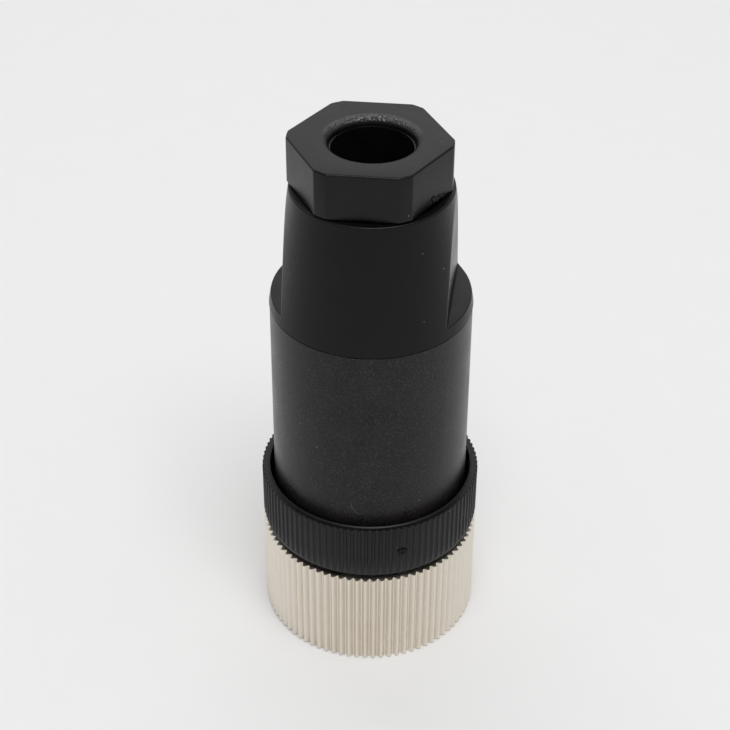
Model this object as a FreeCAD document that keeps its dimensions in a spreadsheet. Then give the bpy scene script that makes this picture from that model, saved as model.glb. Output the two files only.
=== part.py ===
# A straight round cable connector with a threaded coupling nut, standing on that nut.
# Millimetres, +Z up through the cable end. The origin is the centre of the nut's bottom face.
import FreeCAD, Part
import math
import os
from types import SimpleNamespace

import Sketcher

# The driving sizes, in millimetres, with turns in degrees and counts as whole numbers
SIZES = {
    # contacts and their terminals
    "contact_count": 4,
    "contact_circle_radius": 2.5,
    "contact_fit": 0.03,
    "entry_radius": 0.72,
    "entry_depth": 0.6,
    "socket_radius": 0.86,
    "socket_bore_radius": 0.52,
    "socket_depth": 5.5,
    "socket_slot_width": 0.22,
    "socket_slot_depth": 4.2,
    "terminal_radius": 1.3,
    "terminal_height": 7.4,
    "terminal_recess": 0.6,
    "wire_hole_radius": 0.9,
    "wire_hole_depth": 4.8,
    # terminal screws
    "screw_radius": 0.95,
    "screw_fit": 0.04,
    "screw_length": 1.6,
    "screw_recess": 0.15,
    "screw_below_top": 2.8,
    "screw_slot_width": 0.3,
    "screw_slot_depth": 0.45,
    # contact insert
    "block_wall": 0.62,
    "block_height": 16.5,
    "nose_recess": 1.0,
    "nose_step": 0.3,
    "nose_chamfer": 0.2,
    "keyway_width": 1.5,
    "keyway_depth": 0.8,
    "keyway_end_wall": 0.7,
    "keyway_angle": 90.0,
    "insert_fit": 0.05,
    "flange_lip": 0.4,
    "flange_thickness": 1.0,
    # seals
    "seal_groove_depth": 0.2,
    "seal_groove_spare": 0.18,
    "face_seal_cord": 1.0,
    "housing_seal_cord": 0.9,
    "seal_gap": 0.02,
    # coupling nut
    "flange_side_gap": 0.65,
    "nut_wall": 4.05,
    "nut_height": 9.95,
    "nut_edge_chamfer": 0.15,
    "nut_groove_count": 82,
    "nut_groove_width": 0.52,
    "nut_groove_depth": 0.38,
    "nut_mouth_chamfer": 0.4,
    "collar_thickness": 1.2,
    "collar_side_gap": 0.1,
    "collar_end_gap": 0.25,
    "nut_top_gap": 0.05,
    # contact carrier, with the ribbed grip ring
    "neck_wall": 0.45,
    "grip_inset": 0.15,
    "grip_wall": 0.47,
    "grip_height": 5.42,
    "rib_count": 98,
    "rib_height": 0.14,
    "rib_root_width": 0.34,
    "rib_tip_width": 0.14,
    "boss_inset": 1.3,
    "boss_height": 0.65,
    "cup_depth": 3.7,
    "spigot_wall": 1.2,
    "spigot_height": 6.6,
    "spigot_floor": 1.6,
    # housing
    "cup_side_gap": 0.62,
    "housing_end_gap": 0.06,
    "thread_gap": 0.1,
    "thread_wall": 1.31,
    "sleeve_length": 20.91,
    "parting_step": 0.05,
    "cone_length": 11.53,
    "rim_wall": 0.88,
    "rim_round": 0.12,
    "ledge_height": 1.01,
    "flats_rise": 0.07,
    "flats_angle": -7.5,
    "spigot_end_gap": 0.05,
    "room_wall": 1.71,
    "wire_room_roof_drop": 2.4,
    "shelf_thickness": 1.2,
    "shelf_hole_gap": 0.23,
    "gland_bore_depth": 12.6,
    # cable seal and clamp cage
    "cable_seal_grip": 0.37,
    "cable_seal_wall": 1.55,
    "cable_seal_length": 5.2,
    "cable_seal_chamfer": 0.5,
    "cable_seal_side_gap": 0.1,
    "cage_wall": 1.2,
    "cage_side_gap": 0.15,
    "cage_length": 7.0,
    "cage_straight": 2.8,
    "cage_base_height": 1.5,
    "finger_tip_wall": 0.25,
    "finger_count": 8,
    "finger_slot_width": 0.9,
    "seat_gap": 0.02,
    # gland nut
    "cable_bore_radius": 3.47,
    "mouth_round": 0.7,
    "gland_thread_length": 6.6,
    "gland_rim_gap": 0.2,
    "hex_height": 4.06,
    "hex_step": 0.275,
    "hex_corner_reach": 0.655,
    "hex_round": 0.15,
    "hex_angle": 24.2,
    "cone_side_gap": 0.12,
    "cone_past_tips": 1.0,
}

# How far a cutting outline runs past the surface that it cuts, so that it cuts clean through
OVERRUN = 1.0
# How far a rib's root reaches into the wall that carries it
RIB_ROOT_SINK = 0.2
# What counts as the same place when an edge is looked up
SAME_PLACE = 0.001
FULL_TURN = 360.0
HEX_SIDES = 6
FLATS = 2

V = FreeCAD.Vector


class Length:
    """A size of the object: its number now, and the sheet expression that gives it."""

    def __init__(self, value, text):
        self.value = value
        self.text = text

    def __add__(self, other):
        other = as_length(other)
        return Length(self.value + other.value, f"({self.text} + {other.text})")

    def __sub__(self, other):
        other = as_length(other)
        return Length(self.value - other.value, f"({self.text} - {other.text})")

    def __mul__(self, other):
        other = as_length(other)
        return Length(self.value * other.value, f"({self.text} * {other.text})")

    def __truediv__(self, other):
        other = as_length(other)
        return Length(self.value / other.value, f"({self.text} / {other.text})")

    def __neg__(self):
        return Length(-self.value, f"(-1 * {self.text})")


def as_length(item):
    """A plain number as a Length, and a Length as it is."""
    if isinstance(item, Length):
        return item
    return Length(float(item), f"({item})")


def write_sheet(doc):
    """Puts every driving size in the document's sheet, and gives them back by name."""
    sheet = doc.addObject("Spreadsheet::Sheet", "Sizes")
    for row, (name, value) in enumerate(SIZES.items(), start=1):
        sheet.set(f"A{row}", name)
        sheet.set(f"B{row}", str(value))
        sheet.setAlias(f"B{row}", name)
    doc.recompute()
    return SimpleNamespace(
        **{name: Length(float(value), f"Sizes.{name}") for name, value in SIZES.items()}
    )


def add_radii(d):
    """The radii that follow, from the contacts and the cable outwards: each piece fits round the last."""
    d.insert_radius = d.contact_circle_radius + d.terminal_radius + d.contact_fit + d.block_wall
    d.nose_radius = d.insert_radius - d.nose_step
    d.seal_seat_radius = d.nose_radius - d.seal_groove_depth
    d.neck_radius = d.insert_radius + d.insert_fit + d.neck_wall
    d.flange_radius = d.neck_radius + d.flange_lip
    d.thread_root_radius = d.flange_radius + d.flange_side_gap
    d.nut_tip_radius = d.thread_root_radius + d.nut_wall
    d.grip_radius = d.nut_tip_radius - d.grip_inset
    d.boss_radius = d.grip_radius - d.boss_inset
    d.cup_radius = d.grip_radius - d.grip_wall
    d.sleeve_radius = d.cup_radius - d.cup_side_gap
    d.spigot_radius = d.sleeve_radius - d.thread_wall - d.thread_gap
    d.spigot_bore_radius = d.spigot_radius - d.spigot_wall
    d.wire_room_radius = d.sleeve_radius - d.room_wall
    d.shelf_hole_radius = d.cable_bore_radius + d.shelf_hole_gap
    d.cable_seal_bore_radius = d.cable_bore_radius - d.cable_seal_grip
    d.cable_seal_radius = d.cable_seal_bore_radius + d.cable_seal_wall
    d.cage_bore_radius = d.cable_seal_radius + d.cable_seal_side_gap
    d.cage_radius = d.cage_bore_radius + d.cage_wall
    d.finger_tip_radius = d.cage_bore_radius + d.finger_tip_wall
    d.gland_bore_radius = d.cage_radius + d.cage_side_gap
    d.gland_thread_radius = d.gland_bore_radius - d.thread_gap
    d.rim_radius = d.gland_bore_radius + d.rim_wall
    d.flat_radius = d.rim_radius + d.flats_rise
    d.hex_side_radius = d.gland_thread_radius + d.hex_step
    d.hex_corner_radius = d.hex_side_radius + d.hex_corner_reach


def places(d):
    """The heights that the pieces share, each worked out from the sizes that set it."""
    z = SimpleNamespace()
    z.nut_top = d.nut_height
    z.collar_bottom = d.nut_height - d.collar_thickness
    z.flange_top = z.collar_bottom - d.collar_end_gap
    z.flange_bottom = z.flange_top - d.flange_thickness
    z.nose_end = d.nose_recess
    z.nose_root = z.flange_bottom - d.seal_gap - d.face_seal_cord - d.seal_groove_spare
    z.keyway_end = z.nose_root - d.keyway_end_wall
    z.block_top = z.flange_top + d.block_height
    z.boss_bottom = z.nut_top + d.nut_top_gap
    z.ring_bottom = z.boss_bottom + d.boss_height
    z.ring_top = z.ring_bottom + d.grip_height
    z.cup_floor = z.ring_top - d.cup_depth
    z.spigot_top = z.cup_floor + d.spigot_height
    z.contact_tip = z.nose_end + d.entry_depth
    z.terminal_top = z.block_top - d.terminal_recess
    z.terminal_bottom = z.terminal_top - d.terminal_height
    z.screw_axis = z.terminal_top - d.screw_below_top
    z.housing_bottom = z.cup_floor + d.seal_gap + d.housing_seal_cord + d.housing_end_gap
    z.parting = z.housing_bottom + d.sleeve_length
    z.ledge = z.parting + d.ledge_height
    z.rim = z.parting + d.cone_length
    z.shelf_top = z.rim - d.gland_bore_depth
    z.shelf_bottom = z.shelf_top - d.shelf_thickness
    z.room_top = z.shelf_bottom - d.wire_room_roof_drop
    z.cage_bottom = z.shelf_top + d.seat_gap
    z.cage_top = z.cage_bottom + d.cage_length
    z.hex_bottom = z.rim + d.gland_rim_gap
    z.gland_top = z.hex_bottom + d.hex_height
    z.gland_end = z.hex_bottom - d.gland_thread_length
    z.cone_top = z.cage_top + d.cone_past_tips
    return z


def bind(item, field, size):
    """Ties one field of an object to the sheet."""
    item.setExpression(field, size.text)


def new_body(doc, name, turn=None):
    """An empty body whose label names the piece, turned about Z where the piece is."""
    body = doc.addObject("PartDesign::Body", name)
    body.Label = name
    if turn is not None:
        body.setExpression("Placement.Rotation.Angle", f"{turn.text} * 1 deg")
    return body


def new_sketch(body, name, plane, lift=None, shift=None, turn=None):
    """A sketch on one of the body's own planes, moved off it by lift and along it by shift."""
    sketch = body.newObject("Sketcher::SketchObject", name)
    base = [item for item in body.Origin.OriginFeatures if item.Role == plane][0]
    sketch.AttachmentSupport = [(base, "")]
    sketch.MapMode = "FlatFace"
    if lift is not None:
        bind(sketch, "AttachmentOffset.Base.z", lift)
    if shift is not None:
        bind(sketch, "AttachmentOffset.Base.x", shift)
    if turn is not None:
        sketch.setExpression("AttachmentOffset.Rotation.Angle", f"{turn.text} * 1 deg")
    return sketch


def place_point(sketch, edge, end, x, y):
    """Holds one end of an edge at x and y from the sketch's origin."""
    for kind, size in (("DistanceX", x), ("DistanceY", y)):
        held = Sketcher.Constraint(kind, -1, 1, edge, end, size.value)
        bind(sketch, f"Constraints[{sketch.addConstraint(held)}]", size)


def draw_outline(sketch, corners):
    """A closed outline through the corners. A corner with a third item is reached by an arc:
    its radius and its centre's x and y."""
    corners = [(as_length(c[0]), as_length(c[1]), *c[2:]) for c in corners]
    ends = []
    for index, corner in enumerate(corners):
        before = corners[index - 1]
        start = V(before[0].value, before[1].value, 0)
        stop = V(corner[0].value, corner[1].value, 0)
        if len(corner) == 2:
            edge = sketch.addGeometry(Part.LineSegment(start, stop))
            ends.append((edge, 1, 2))
            continue
        radius, centre_x, centre_y = corner[2]
        circle = Part.Circle(V(centre_x.value, centre_y.value, 0), V(0, 0, 1), radius.value)
        first = math.atan2(start.y - centre_y.value, start.x - centre_x.value)
        last = math.atan2(stop.y - centre_y.value, stop.x - centre_x.value)
        forward = (last - first) % (2 * math.pi) < math.pi
        span = (first, last) if forward else (last, first)
        edge = sketch.addGeometry(Part.ArcOfCircle(circle, *span))
        ends.append((edge, 1, 2) if forward else (edge, 2, 1))
        bent = Sketcher.Constraint("Radius", edge, radius.value)
        bind(sketch, f"Constraints[{sketch.addConstraint(bent)}]", radius)
    for index, (edge, start, stop) in enumerate(ends):
        following, following_start, _ = ends[(index + 1) % len(ends)]
        joined = Sketcher.Constraint("Coincident", edge, stop, following, following_start)
        sketch.addConstraint(joined)
        place_point(sketch, edge, stop, *corners[index][:2])


def draw_circle(sketch, radius, x=0.0, y=0.0):
    """A circle about x and y."""
    x = as_length(x)
    y = as_length(y)
    circle = Part.Circle(V(x.value, y.value, 0), V(0, 0, 1), radius.value)
    edge = sketch.addGeometry(circle)
    place_point(sketch, edge, 3, x, y)
    sized = Sketcher.Constraint("Radius", edge, radius.value)
    bind(sketch, f"Constraints[{sketch.addConstraint(sized)}]", radius)


def draw_box(sketch, left, right, half_height, middle=0.0):
    """An upright rectangle from left to right, half_height each side of middle."""
    middle = as_length(middle)
    low = middle - half_height
    high = middle + half_height
    draw_outline(sketch, [(left, low), (right, low), (right, high), (left, high)])


def revolve(body, corners, shift=None):
    """Turns an outline of radius and height about Z, or about an upright axis moved by shift."""
    sketch = new_sketch(body, body.Name + "_section", "XZ_Plane", shift=shift)
    draw_outline(sketch, corners)
    turned = body.newObject("PartDesign::Revolution", body.Name + "_turned")
    turned.Profile = sketch
    turned.ReferenceAxis = (sketch, ["V_Axis"])
    turned.Angle = FULL_TURN
    return turned


def pocket(body, sketch, depth):
    """Cuts from the sketch against its normal, and makes sure that something was cut."""
    before = body.Tip.Shape.Volume
    cut = body.newObject("PartDesign::Pocket", sketch.Name + "_cut")
    cut.Profile = sketch
    bind(cut, "Length", depth)
    body.Document.recompute()
    if not cut.Shape.Volume < before:
        raise RuntimeError(f"{cut.Name} cuts nothing")
    return cut


def repeat_round(body, features, count):
    """Repeats features evenly round the body's Z axis."""
    name = f"{body.Name}_{features[0].Name}_round"
    pattern = body.newObject("PartDesign::PolarPattern", name)
    pattern.Originals = features
    axis = [item for item in body.Origin.OriginFeatures if item.Role == "Z_Axis"][0]
    pattern.Axis = (axis, [""])
    pattern.Angle = FULL_TURN
    bind(pattern, "Occurrences", as_length(count))
    body.Tip = pattern
    body.Document.recompute()
    return pattern


def round_edges(body, name, radius, chosen):
    """Rounds the edges of the body's last feature that chosen picks out."""
    base = body.Tip
    found = [f"Edge{i}" for i, edge in enumerate(base.Shape.Edges, start=1) if chosen(edge)]
    if not found:
        raise RuntimeError(f"{name} finds no edge")
    fillet = body.newObject("PartDesign::Fillet", name)
    fillet.Base = (base, found)
    bind(fillet, "Radius", radius)
    body.Document.recompute()
    return fillet


def lies_at(edge, height):
    """Whether the whole edge lies at this height."""
    box = edge.BoundBox
    return abs(box.ZMin - height) < SAME_PLACE and abs(box.ZMax - height) < SAME_PLACE


def reach(edge):
    """The distance from the Z axis to the edge's first point."""
    point = edge.Vertexes[0].Point
    return math.hypot(point.x, point.y)


def make_coupling_nut(doc, d, z):
    """The knurled nut: its collar runs on the carrier's neck, and its thread is bored to the root."""
    body = new_body(doc, "coupling_nut")
    collar_bore = d.neck_radius + d.collar_side_gap
    revolve(
        body,
        [
            (d.thread_root_radius + d.nut_mouth_chamfer, 0),
            (d.nut_tip_radius - d.nut_edge_chamfer, 0),
            (d.nut_tip_radius, d.nut_edge_chamfer),
            (d.nut_tip_radius, z.nut_top),
            (collar_bore, z.nut_top),
            (collar_bore, z.collar_bottom),
            (d.thread_root_radius, z.collar_bottom),
            (d.thread_root_radius, d.nut_mouth_chamfer),
        ],
    )
    doc.recompute()
    groove = new_sketch(body, "knurl_groove", "XY_Plane", lift=z.nut_top)
    outside = d.nut_tip_radius + d.nut_groove_depth
    bottom = d.nut_tip_radius - d.nut_groove_depth
    draw_outline(
        groove, [(bottom, 0), (outside, -d.nut_groove_width), (outside, d.nut_groove_width)]
    )
    repeat_round(body, [pocket(body, groove, d.nut_height)], d.nut_groove_count)
    return body


def make_contact_carrier(doc, d, z):
    """The black grip ring in one piece with its boss, its neck and the threaded spigot."""
    body = new_body(doc, "contact_carrier")
    insert_bore = d.insert_radius + d.insert_fit
    revolve(
        body,
        [
            (insert_bore, z.flange_top),
            (d.neck_radius, z.flange_top),
            (d.neck_radius, z.boss_bottom),
            (d.boss_radius, z.boss_bottom),
            (d.boss_radius, z.ring_bottom),
            (d.grip_radius, z.ring_bottom),
            (d.grip_radius, z.ring_top),
            (d.cup_radius, z.ring_top),
            (d.cup_radius, z.cup_floor),
            (d.spigot_radius, z.cup_floor),
            (d.spigot_radius, z.spigot_top),
            (d.spigot_bore_radius, z.spigot_top),
            (d.spigot_bore_radius, z.cup_floor + d.spigot_floor),
            (insert_bore, z.cup_floor + d.spigot_floor),
        ],
    )
    doc.recompute()
    section = new_sketch(body, "rib_section", "XY_Plane", lift=z.ring_bottom)
    root = d.grip_radius - RIB_ROOT_SINK
    tip = d.grip_radius + d.rib_height
    root_half = d.rib_root_width / 2
    tip_half = d.rib_tip_width / 2
    draw_outline(
        section, [(root, -root_half), (tip, -tip_half), (tip, tip_half), (root, root_half)]
    )
    rib = body.newObject("PartDesign::Pad", "rib")
    rib.Profile = section
    bind(rib, "Length", d.grip_height)
    doc.recompute()
    repeat_round(body, [rib], d.rib_count)
    return body


def make_contact_insert(doc, d, z):
    """The insulator: the keyed nose, the flange that holds the nut, and the terminal block."""
    body = new_body(doc, "contact_insert", turn=d.keyway_angle)
    revolve(
        body,
        [
            (0, z.nose_end),
            (d.nose_radius - d.nose_chamfer, z.nose_end),
            (d.nose_radius, z.nose_end + d.nose_chamfer),
            (d.nose_radius, z.nose_root),
            (d.seal_seat_radius, z.nose_root),
            (d.seal_seat_radius, z.flange_bottom),
            (d.flange_radius, z.flange_bottom),
            (d.flange_radius, z.flange_top),
            (d.insert_radius, z.flange_top),
            (d.insert_radius, z.block_top),
            (0, z.block_top),
        ],
    )
    doc.recompute()
    keyway = new_sketch(body, "keyway", "XY_Plane", lift=z.keyway_end)
    draw_box(
        keyway, d.nose_radius - d.keyway_depth, d.nose_radius + OVERRUN, d.keyway_width / 2
    )
    pocket(body, keyway, z.keyway_end - z.nose_end)
    between = as_length(FULL_TURN) / d.contact_count / 2
    wells = [
        ("socket_entry", z.contact_tip, d.entry_radius, d.entry_depth),
        (
            "socket_well",
            z.terminal_bottom,
            d.socket_radius + d.contact_fit,
            z.terminal_bottom - z.contact_tip,
        ),
        (
            "terminal_well",
            z.block_top,
            d.terminal_radius + d.contact_fit,
            z.block_top - z.terminal_bottom,
        ),
    ]
    cuts = []
    for name, top, radius, depth in wells:
        sketch = new_sketch(body, name, "XY_Plane", lift=top, turn=between)
        draw_circle(sketch, radius, x=d.contact_circle_radius)
        cuts.append(pocket(body, sketch, depth))
    repeat_round(body, cuts, d.contact_count)
    window = new_side_sketch(body, "screw_window", d.insert_radius, between)
    draw_circle(window, d.screw_radius + d.screw_fit, y=z.screw_axis)
    depth = d.insert_radius - d.contact_circle_radius
    repeat_round(body, [pocket(body, window, depth)], d.contact_count)
    return body


def new_side_sketch(body, name, radius, turn):
    """A sketch on an upright plane that touches the cylinder of this radius at this turn, with Y up."""
    sketch = body.newObject("Sketcher::SketchObject", name)
    base = [item for item in body.Origin.OriginFeatures if item.Role == "YZ_Plane"][0]
    sketch.AttachmentSupport = [(base, "")]
    sketch.MapMode = "FlatFace"
    facing = FreeCAD.Rotation(V(0, 1, 0), turn.value)
    sketch.AttachmentOffset = FreeCAD.Placement(V(0, 0, 0), facing)
    sketch.setExpression("AttachmentOffset.Rotation.Angle", f"{turn.text} * 1 deg")
    sketch.setExpression("AttachmentOffset.Base.x", f"{radius.text} * sin({turn.text} * 1 deg)")
    sketch.setExpression("AttachmentOffset.Base.z", f"{radius.text} * cos({turn.text} * 1 deg)")
    return sketch


def contact_turn(d, index):
    """Where one contact stands about Z: halfway between the keyway's side and the next."""
    step = as_length(FULL_TURN) / d.contact_count
    return d.keyway_angle + step * (index + 0.5)


def make_contact(doc, d, z, index):
    """One turned contact: a slotted socket below, a terminal with its wire hole above."""
    body = new_body(doc, f"contact_{index + 1}", turn=contact_turn(d, index))
    revolve(
        body,
        [
            (d.socket_bore_radius, z.contact_tip),
            (d.socket_radius, z.contact_tip),
            (d.socket_radius, z.terminal_bottom),
            (d.terminal_radius, z.terminal_bottom),
            (d.terminal_radius, z.terminal_top),
            (d.wire_hole_radius, z.terminal_top),
            (d.wire_hole_radius, z.terminal_top - d.wire_hole_depth),
            (0, z.terminal_top - d.wire_hole_depth),
            (0, z.contact_tip + d.socket_depth),
            (d.socket_bore_radius, z.contact_tip + d.socket_depth),
        ],
        shift=d.contact_circle_radius,
    )
    doc.recompute()
    slot = new_sketch(
        body, f"socket_slot_{index + 1}", "XY_Plane", lift=z.contact_tip + d.socket_slot_depth
    )
    draw_box(
        slot,
        d.contact_circle_radius - d.socket_radius * 2,
        d.contact_circle_radius + d.socket_radius * 2,
        d.socket_slot_width / 2,
    )
    pocket(body, slot, d.socket_slot_depth)
    hole = new_sketch(
        body,
        f"screw_hole_{index + 1}",
        "YZ_Plane",
        lift=d.contact_circle_radius + d.terminal_radius,
    )
    draw_circle(hole, d.screw_radius + d.screw_fit, y=z.screw_axis)
    pocket(body, hole, d.terminal_radius)
    return body


def make_terminal_screw(doc, d, z, index):
    """One slotted grub screw, standing out from its contact towards the block's side."""
    body = new_body(doc, f"terminal_screw_{index + 1}", turn=contact_turn(d, index))
    end = d.insert_radius - d.screw_recess
    section = new_sketch(body, f"screw_section_{index + 1}", "YZ_Plane", lift=end)
    draw_circle(section, d.screw_radius, y=z.screw_axis)
    shank = body.newObject("PartDesign::Pad", f"screw_shank_{index + 1}")
    shank.Profile = section
    shank.Reversed = True
    bind(shank, "Length", d.screw_length)
    doc.recompute()
    slot = new_sketch(body, f"screw_slot_{index + 1}", "YZ_Plane", lift=end)
    half = d.screw_slot_width / 2
    side = d.screw_radius * 2
    draw_box(slot, -side, side, half, middle=z.screw_axis)
    pocket(body, slot, d.screw_slot_depth)
    return body


def make_terminal_screws(doc, d, z):
    """The four identical terminal screws as one group of separate solids."""
    group = doc.addObject("Part::Compound", "terminal_screws")
    group.Links = [make_terminal_screw(doc, d, z, i) for i in range(SIZES["contact_count"])]
    group.Label = "terminal_screws"
    return group


def make_seal_ring(doc, name, d, inner_radius, cord, seat, above):
    """A ring of round rubber cord about a cylinder, lying above or under its seat."""
    ring = doc.addObject("Part::Torus", name)
    ring.Label = name
    bind(ring, "Radius1", inner_radius + d.seal_gap + cord / 2)
    bind(ring, "Radius2", cord / 2)
    offset = d.seal_gap + cord / 2
    bind(ring, "Placement.Base.z", seat + offset if above else seat - offset)
    return ring


def make_housing(doc, d, z):
    """The moulded sleeve: plain below, tapered above the parting line, with two wrench flats."""
    body = new_body(doc, "housing", turn=d.flats_angle)
    thread_bore = d.spigot_radius + d.thread_gap
    stop = z.spigot_top + d.spigot_end_gap
    revolve(
        body,
        [
            (thread_bore, z.housing_bottom),
            (d.sleeve_radius, z.housing_bottom),
            (d.sleeve_radius, z.parting),
            (d.sleeve_radius + d.parting_step, z.parting),
            (d.rim_radius, z.rim),
            (d.gland_bore_radius, z.rim),
            (d.gland_bore_radius, z.shelf_top),
            (d.shelf_hole_radius, z.shelf_top),
            (d.shelf_hole_radius, z.shelf_bottom),
            (d.wire_room_radius, z.room_top),
            (d.wire_room_radius, stop),
            (thread_bore, stop),
        ],
    )
    doc.recompute()
    rim_radius = d.rim_radius.value
    round_edges(
        body,
        "rim_rounding",
        d.rim_round,
        lambda edge: lies_at(edge, z.rim.value) and abs(reach(edge) - rim_radius) < SAME_PLACE,
    )
    flat = new_sketch(body, "wrench_flat", "XY_Plane", lift=z.rim)
    outside = d.sleeve_radius + OVERRUN
    draw_box(flat, d.flat_radius, outside, d.sleeve_radius)
    repeat_round(body, [pocket(body, flat, z.rim - z.ledge)], FLATS)
    return body


def make_cable_seal(doc, d, z):
    """The rubber sleeve that grips the cable, chamfered at the ends of its bore."""
    body = new_body(doc, "cable_seal")
    bottom = z.cage_bottom
    top = bottom + d.cable_seal_length
    outer = d.cable_seal_radius
    inner = d.cable_seal_bore_radius
    chamfer = d.cable_seal_chamfer
    revolve(
        body,
        [
            (inner + chamfer, bottom),
            (outer, bottom),
            (outer, top - chamfer),
            (outer - chamfer, top),
            (inner + chamfer, top),
            (inner, top - chamfer),
            (inner, bottom + chamfer),
        ],
    )
    doc.recompute()
    return body


def finger_slope(d):
    """How much the clamp fingers' outside narrows for each millimetre of height."""
    return (d.cage_radius - d.finger_tip_radius) / (d.cage_length - d.cage_straight)


def make_clamp_cage(doc, d, z):
    """The slotted ring round the cable seal, with fingers that taper to their tips."""
    body = new_body(doc, "clamp_cage")
    revolve(
        body,
        [
            (d.cage_bore_radius, z.cage_bottom),
            (d.cage_radius, z.cage_bottom),
            (d.cage_radius, z.cage_bottom + d.cage_straight),
            (d.finger_tip_radius, z.cage_top),
            (d.cage_bore_radius, z.cage_top),
        ],
    )
    doc.recompute()
    slot = new_sketch(body, "finger_slot", "XY_Plane", lift=z.cage_top)
    outside = d.cage_radius + OVERRUN
    draw_box(slot, d.cage_bore_radius / 2, outside, d.finger_slot_width / 2)
    depth = d.cage_length - d.cage_base_height
    repeat_round(body, [pocket(body, slot, depth)], d.finger_count)
    return body


def make_gland_nut(doc, d, z):
    """The hexagon pressing screw with its flared cable bore and the cone that closes the fingers."""
    body = new_body(doc, "gland_nut", turn=d.hex_angle)
    slope = finger_slope(d)
    cone_mouth = d.finger_tip_radius + slope * (z.cage_top - z.gland_end) + d.cone_side_gap
    cone_end = d.finger_tip_radius - slope * d.cone_past_tips + d.cone_side_gap
    flare_edge = d.cable_bore_radius + d.mouth_round
    flare_end = z.gland_top - d.mouth_round
    revolve(
        body,
        [
            (d.gland_thread_radius, z.gland_end),
            (d.gland_thread_radius, z.hex_bottom),
            (d.hex_corner_radius, z.hex_bottom),
            (d.hex_corner_radius, z.gland_top),
            (flare_edge, z.gland_top),
            (d.cable_bore_radius, flare_end, (d.mouth_round, flare_edge, flare_end)),
            (d.cable_bore_radius, z.cone_top),
            (cone_end, z.cone_top),
            (cone_mouth, z.gland_end),
        ],
    )
    doc.recompute()
    side = new_sketch(body, "hex_side", "XY_Plane", lift=z.gland_top)
    half = d.hex_side_radius
    draw_box(side, half, d.hex_corner_radius + OVERRUN, half)
    repeat_round(body, [pocket(body, side, d.hex_height)], HEX_SIDES)
    inner = flare_edge.value + SAME_PLACE
    round_edges(
        body,
        "hex_rounding",
        d.hex_round,
        lambda edge: lies_at(edge, z.gland_top.value) and reach(edge) > inner,
    )
    return body


def make_parts(doc, d, z):
    """Every piece of the connector, from the mating end to the cable end."""
    contacts = [make_contact(doc, d, z, i) for i in range(SIZES["contact_count"])]
    return [
        make_coupling_nut(doc, d, z),
        make_contact_insert(doc, d, z),
        *contacts,
        make_terminal_screws(doc, d, z),
        make_seal_ring(
            doc, "face_seal", d, d.seal_seat_radius, d.face_seal_cord, z.flange_bottom, False
        ),
        make_contact_carrier(doc, d, z),
        make_seal_ring(
            doc, "housing_seal", d, d.spigot_radius, d.housing_seal_cord, z.cup_floor, True
        ),
        make_housing(doc, d, z),
        make_cable_seal(doc, d, z),
        make_clamp_cage(doc, d, z),
        make_gland_nut(doc, d, z),
    ]


def check_document(doc, pieces):
    """Stops the build if any object failed or any piece has no sound shape."""
    for item in doc.Objects:
        if "Invalid" in item.State or "Error" in item.State:
            raise RuntimeError(f"{item.Name} failed: {item.State}")
    for piece in pieces:
        if piece.Shape.isNull() or not piece.Shape.isValid():
            raise RuntimeError(f"{piece.Label} has no sound shape")


def main():
    doc = FreeCAD.newDocument("connector")
    d = write_sheet(doc)
    add_radii(d)
    z = places(d)
    pieces = make_parts(doc, d, z)
    doc.recompute()
    check_document(doc, pieces)
    os.makedirs("parts", exist_ok=True)
    for piece in pieces:
        piece.Shape.exportStep(f"parts/{piece.Label}.step")
        shape = piece.Shape
        print(piece.Label, round(shape.Volume, 3), len(shape.Solids), len(shape.Faces))


main()
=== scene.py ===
"""The looks of a straight round cable connector that stands on its knurled coupling nut."""
import math

import bmesh
import bpy
from mathutils import Matrix, Vector, noise


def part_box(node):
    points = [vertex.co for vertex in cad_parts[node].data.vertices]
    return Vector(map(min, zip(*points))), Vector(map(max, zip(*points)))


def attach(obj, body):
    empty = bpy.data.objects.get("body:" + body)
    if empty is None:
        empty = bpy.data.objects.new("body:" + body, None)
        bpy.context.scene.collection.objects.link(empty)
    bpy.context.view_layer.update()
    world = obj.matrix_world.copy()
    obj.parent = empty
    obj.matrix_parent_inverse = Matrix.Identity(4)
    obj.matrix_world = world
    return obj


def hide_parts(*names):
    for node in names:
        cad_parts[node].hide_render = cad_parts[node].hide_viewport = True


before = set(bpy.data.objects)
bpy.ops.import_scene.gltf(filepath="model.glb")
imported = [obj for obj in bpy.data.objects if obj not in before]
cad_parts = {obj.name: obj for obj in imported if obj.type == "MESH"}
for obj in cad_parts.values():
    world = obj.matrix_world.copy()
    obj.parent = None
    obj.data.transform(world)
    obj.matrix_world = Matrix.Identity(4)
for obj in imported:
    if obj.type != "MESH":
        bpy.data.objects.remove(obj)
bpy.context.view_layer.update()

MM = 0.001
TURN = 2 * math.pi


def low(node):
    """A node's lowest corner in millimetres."""
    return [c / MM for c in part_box(node)[0]]


def high(node):
    """A node's highest corner in millimetres."""
    return [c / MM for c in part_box(node)[1]]


# Heights that the frame gives, in millimetres like every size below
NUT_TOP = high("coupling_nut")[2]
CARRIER_LOW = low("contact_carrier")[2]
SPIGOT_TOP = high("contact_carrier")[2]
SLEEVE_LOW = low("housing")[2]
RIM = high("housing")[2]
GLAND_END = low("gland_nut")[2]
GLAND_TOP = high("gland_nut")[2]
CAGE_TOP = high("clamp_cage")[2]
SHELF_TOP = low("clamp_cage")[2] - 0.02

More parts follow.
